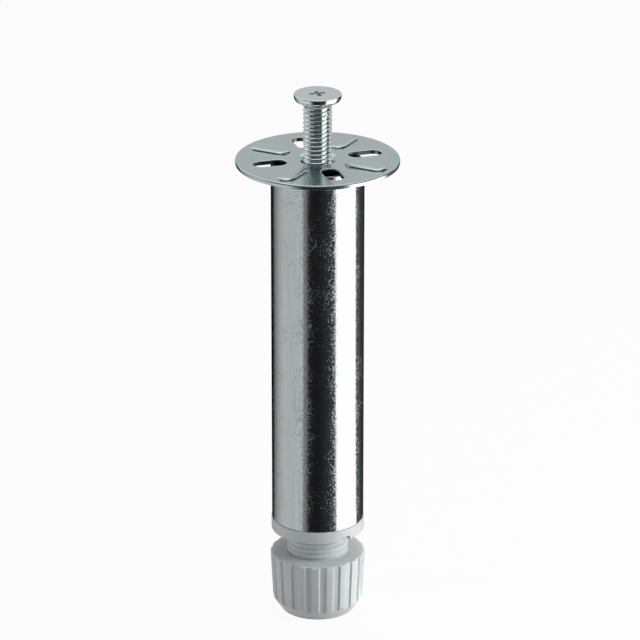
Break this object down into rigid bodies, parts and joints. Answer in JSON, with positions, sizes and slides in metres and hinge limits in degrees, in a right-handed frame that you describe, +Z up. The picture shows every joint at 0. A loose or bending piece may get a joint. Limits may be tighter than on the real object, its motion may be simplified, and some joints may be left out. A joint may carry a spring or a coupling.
{
  "type": "adjustable cabinet leg",
  "caption": "Round chromed cabinet leg with a slotted mounting plate, a moulded end plug, a ribbed screw-in levelling foot and a flat-head fixing screw.",
  "frame": {"origin": "centre of the foot's base on the floor, with the foot as far out as the picture shows it", "axes": "+Z up the leg's axis to the mounting plate, +X and +Y along the plate's slots"},
  "size_m": [0.056, 0.056, 0.1907],
  "materials": {
    "plated_steel": "bright zinc-plated pressed and turned steel",
    "chromed_tube": "bright chrome with fine scuffs",
    "grey_plastic": "light grey moulded plastic, satin"
  },
  "bodies": {
    "leg": {"mounting_plate": "plated_steel", "leg_tube": "chromed_tube", "tube_plug": "grey_plastic"},
    "foot": {"levelling_foot": "grey_plastic"},
    "screw": {"fixing_screw": "plated_steel"}
  },
  "joints": [
    {"name": "foot_travel", "type": "slide", "parent": "leg", "child": "foot", "axis": [0, 0, -1], "range_m": [-0.008, 0.002]},
    {"name": "screw_travel", "type": "slide", "parent": "leg", "child": "screw", "axis": [0, 0, 1], "range_m": [-0.0195, 0]}
  ]
}
